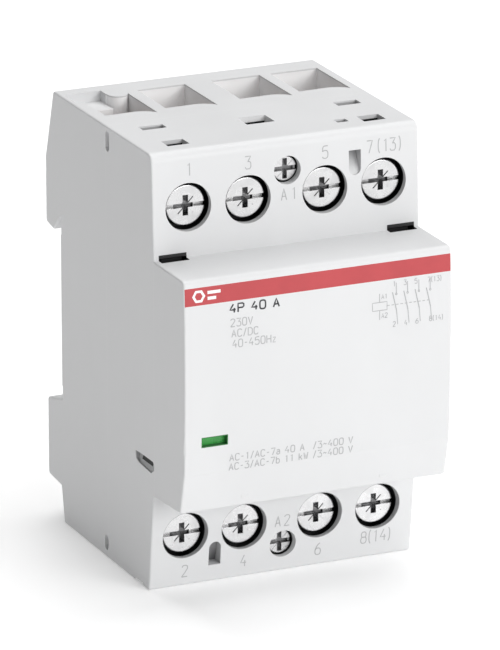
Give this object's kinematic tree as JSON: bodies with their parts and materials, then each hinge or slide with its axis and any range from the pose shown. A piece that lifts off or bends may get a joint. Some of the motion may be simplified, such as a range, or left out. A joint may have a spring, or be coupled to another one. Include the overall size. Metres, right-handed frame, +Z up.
{
  "type": "modular contactor",
  "caption": "Modular contactor with a stepped front, screw terminals above and below, a position flag, a sprung rail clip and a working magnet and contact set.",
  "frame": {"origin": "middle of the flat face that rests on the rail", "axes": "+X to the right seen from the front, +Y back to the wall, +Z up"},
  "size_m": [0.0538, 0.0655, 0.085],
  "materials": {
    "housing": "satin",
    "stripe_red": "satin",
    "clip_plastic": "satin",
    "spring_steel": "satin",
    "core_steel": "matte",
    "pad_rubber": "matte",
    "bobbin_plastic": "satin",
    "copper_wire": "gloss",
    "tinned_brass": "satin",
    "board_laminate": "satin",
    "component_black": "satin",
    "carrier_plastic": "satin",
    "copper_strip": "satin",
    "silver_contact": "satin",
    "flag_green": "gloss",
    "flag_red": "gloss",
    "plated_steel": "satin",
    "screw_steel": "satin",
    "print_grey": "matte",
    "print_dark": "matte",
    "print_white": "matte"
  },
  "bodies": {
    "housing": {"base_housing": "housing", "terminal_housing": "housing", "arc_divider": "bobbin_plastic", "front_cover": "housing", "front_stripe": "stripe_red", "magnet_core": "core_steel", "core_pads": "pad_rubber", "coil_bobbin": "bobbin_plastic", "coil_winding": "copper_wire", "coil_leads": "copper_wire", "coil_strips": "tinned_brass", "rectifier_board": "board_laminate", "rectifier_parts": "component_black", "fixed_tips": "silver_contact", "fixed_contact_1": "copper_strip", "fixed_contact_2": "copper_strip", "fixed_contact_3": "copper_strip", "fixed_contact_4": "copper_strip", "fixed_contact_5": "copper_strip", "fixed_contact_6": "copper_strip", "fixed_contact_7": "copper_strip", "fixed_contact_8": "copper_strip"},
    "rail_clip": {"rail_clip": "clip_plastic", "rail_clip_spring": "spring_steel"},
    "carrier": {"contact_carrier": "carrier_plastic", "armature": "core_steel", "armature_key": "spring_steel", "return_springs": "spring_steel", "contact_springs": "spring_steel"},
    "indicator": {"indicator_flag": "flag_green", "indicator_flag_red": "flag_red"},
    "bridge_1": {"bridge_1": "copper_strip", "bridge_tips_1": "silver_contact"},
    "bridge_2": {"bridge_2": "copper_strip", "bridge_tips_2": "silver_contact"},
    "bridge_3": {"bridge_3": "copper_strip", "bridge_tips_3": "silver_contact"},
    "bridge_4": {"bridge_4": "copper_strip", "bridge_tips_4": "silver_contact"},
    "clamp_screw_1": {"clamp_screw_1": "screw_steel"},
    "clamp_cage_1": {"clamp_cage_1": "plated_steel"},
    "clamp_screw_2": {"clamp_screw_2": "screw_steel"},
    "clamp_cage_2": {"clamp_cage_2": "plated_steel"},
    "clamp_screw_3": {"clamp_screw_3": "screw_steel"},
    "clamp_cage_3": {"clamp_cage_3": "plated_steel"},
    "clamp_screw_4": {"clamp_screw_4": "screw_steel"},
    "clamp_cage_4": {"clamp_cage_4": "plated_steel"},
    "clamp_screw_5": {"clamp_screw_5": "screw_steel"},
    "clamp_cage_5": {"clamp_cage_5": "plated_steel"},
    "clamp_screw_6": {"clamp_screw_6": "screw_steel"},
    "clamp_cage_6": {"clamp_cage_6": "plated_steel"},
    "clamp_screw_7": {"clamp_screw_7": "screw_steel"},
    "clamp_cage_7": {"clamp_cage_7": "plated_steel"},
    "clamp_screw_8": {"clamp_screw_8": "screw_steel"},
    "clamp_cage_8": {"clamp_cage_8": "plated_steel"},
    "coil_screw_a1": {"coil_screw_a1": "screw_steel"},
    "coil_cage_a1": {"coil_cage_a1": "plated_steel"},
    "coil_screw_a2": {"coil_screw_a2": "screw_steel"},
    "coil_cage_a2": {"coil_cage_a2": "plated_steel"}
  },
  "joints": [
    {"name": "rail_clip_slide", "type": "slide", "parent": "housing", "child": "rail_clip", "axis": [0, 0, -1], "range_m": [0, 0.004], "stiffness_N_per_m": 2500, "springref_m": -0.001, "deforming": ["rail_clip_spring"]},
    {"name": "carrier_slide", "type": "slide", "parent": "housing", "child": "carrier", "axis": [0, 1, 0], "range_m": [0, 0.004], "stiffness_N_per_m": 900, "springref_m": -0.002, "deforming": ["return_springs"]},
    {"name": "indicator_slide", "type": "slide", "parent": "housing", "child": "indicator", "axis": [0, 0, -1], "range_m": [0, 0.0022]},
    {"name": "bridge_1_slide", "type": "slide", "parent": "carrier", "child": "bridge_1", "axis": [0, -1, 0], "range_m": [0, 0.0012], "deforming": ["contact_springs"]},
    {"name": "bridge_2_slide", "type": "slide", "parent": "carrier", "child": "bridge_2", "axis": [0, -1, 0], "range_m": [0, 0.0012]},
    {"name": "bridge_3_slide", "type": "slide", "parent": "carrier", "child": "bridge_3", "axis": [0, -1, 0], "range_m": [0, 0.0012]},
    {"name": "bridge_4_slide", "type": "slide", "parent": "carrier", "child": "bridge_4", "axis": [0, -1, 0], "range_m": [0, 0.0012]},
    {"name": "clamp_cage_1_slide", "type": "slide", "parent": "housing", "child": "clamp_cage_1", "axis": [0, -1, 0], "range_m": [0, 0.0048]},
    {"name": "clamp_screw_1_turn", "type": "hinge", "parent": "housing", "child": "clamp_screw_1", "pos_m": [-0.0197, -0.04254, 0.0319], "axis": [0, 1, 0], "range_deg": [0, 2160]},
    {"name": "clamp_cage_2_slide", "type": "slide", "parent": "housing", "child": "clamp_cage_2", "axis": [0, -1, 0], "range_m": [0, 0.0048]},
    {"name": "clamp_screw_2_turn", "type": "hinge", "parent": "housing", "child": "clamp_screw_2", "pos_m": [-0.01995, -0.04091, -0.0322], "axis": [0, 1, 0], "range_deg": [0, 2160]},
    {"name": "clamp_cage_3_slide", "type": "slide", "parent": "housing", "child": "clamp_cage_3", "axis": [0, -1, 0], "range_m": [0, 0.0048]},
    {"name": "clamp_screw_3_turn", "type": "hinge", "parent": "housing", "child": "clamp_screw_3", "pos_m": [-0.00775, -0.04254, 0.0319], "axis": [0, 1, 0], "range_deg": [0, 2160]},
    {"name": "clamp_cage_4_slide", "type": "slide", "parent": "housing", "child": "clamp_cage_4", "axis": [0, -1, 0], "range_m": [0, 0.0048]},
    {"name": "clamp_screw_4_turn", "type": "hinge", "parent": "housing", "child": "clamp_screw_4", "pos_m": [-0.008, -0.04091, -0.0322], "axis": [0, 1, 0], "range_deg": [0, 2160]},
    {"name": "clamp_cage_5_slide", "type": "slide", "parent": "housing", "child": "clamp_cage_5", "axis": [0, -1, 0], "range_m": [0, 0.0048]},
    {"name": "clamp_screw_5_turn", "type": "hinge", "parent": "housing", "child": "clamp_screw_5", "pos_m": [0.00775, -0.04254, 0.0319], "axis": [0, 1, 0], "range_deg": [0, 2160]},
    {"name": "clamp_cage_6_slide", "type": "slide", "parent": "housing", "child": "clamp_cage_6", "axis": [0, -1, 0], "range_m": [0, 0.0048]},
    {"name": "clamp_screw_6_turn", "type": "hinge", "parent": "housing", "child": "clamp_screw_6", "pos_m": [0.0075, -0.04091, -0.0322], "axis": [0, 1, 0], "range_deg": [0, 2160]},
    {"name": "clamp_cage_7_slide", "type": "slide", "parent": "housing", "child": "clamp_cage_7", "axis": [0, -1, 0], "range_m": [0, 0.0048]},
    {"name": "clamp_screw_7_turn", "type": "hinge", "parent": "housing", "child": "clamp_screw_7", "pos_m": [0.0197, -0.04254, 0.0319], "axis": [0, 1, 0], "range_deg": [0, 2160]},
    {"name": "clamp_cage_8_slide", "type": "slide", "parent": "housing", "child": "clamp_cage_8", "axis": [0, -1, 0], "range_m": [0, 0.0048]},
    {"name": "clamp_screw_8_turn", "type": "hinge", "parent": "housing", "child": "clamp_screw_8", "pos_m": [0.01945, -0.04091, -0.0322], "axis": [0, 1, 0], "range_deg": [0, 2160]},
    {"name": "coil_cage_a1_slide", "type": "slide", "parent": "housing", "child": "coil_cage_a1", "axis": [0, -1, 0], "range_m": [0, 0.0015]},
    {"name": "coil_screw_a1_turn", "type": "hinge", "parent": "housing", "child": "coil_screw_a1", "pos_m": [0.00025, -0.04244, 0.03645], "axis": [0, 1, 0], "range_deg": [0, 1080]},
    {"name": "coil_cage_a2_slide", "type": "slide", "parent": "housing", "child": "coil_cage_a2", "axis": [0, -1, 0], "range_m": [0, 0.0015]},
    {"name": "coil_screw_a2_turn", "type": "hinge", "parent": "housing", "child": "coil_screw_a2", "pos_m": [0.00015, -0.0405, -0.037], "axis": [0, 1, 0], "range_deg": [0, 1080]}
  ],
  "couplings": [
    {"joint": "indicator_slide", "follows": "carrier_slide", "ratio": 0.55},
    {"joint": "bridge_1_slide", "follows": "carrier_slide", "ratio": 0.23},
    {"joint": "bridge_2_slide", "follows": "carrier_slide", "ratio": 0.23},
    {"joint": "bridge_3_slide", "follows": "carrier_slide", "ratio": 0.23},
    {"joint": "bridge_4_slide", "follows": "carrier_slide", "ratio": 0.23},
    {"joint": "clamp_screw_1_turn", "follows": "clamp_cage_1_slide", "rad_per_m": 7853.2},
    {"joint": "clamp_screw_2_turn", "follows": "clamp_cage_2_slide", "rad_per_m": 7853.2},
    {"joint": "clamp_screw_3_turn", "follows": "clamp_cage_3_slide", "rad_per_m": 7853.2},
    {"joint": "clamp_screw_4_turn", "follows": "clamp_cage_4_slide", "rad_per_m": 7853.2},
    {"joint": "clamp_screw_5_turn", "follows": "clamp_cage_5_slide", "rad_per_m": 7853.2},
    {"joint": "clamp_screw_6_turn", "follows": "clamp_cage_6_slide", "rad_per_m": 7853.2},
    {"joint": "clamp_screw_7_turn", "follows": "clamp_cage_7_slide", "rad_per_m": 7853.2},
    {"joint": "clamp_screw_8_turn", "follows": "clamp_cage_8_slide", "rad_per_m": 7853.2},
    {"joint": "coil_screw_a1_turn", "follows": "coil_cage_a1_slide", "rad_per_m": 12565},
    {"joint": "coil_screw_a2_turn", "follows": "coil_cage_a2_slide", "rad_per_m": 12565}
  ]
}
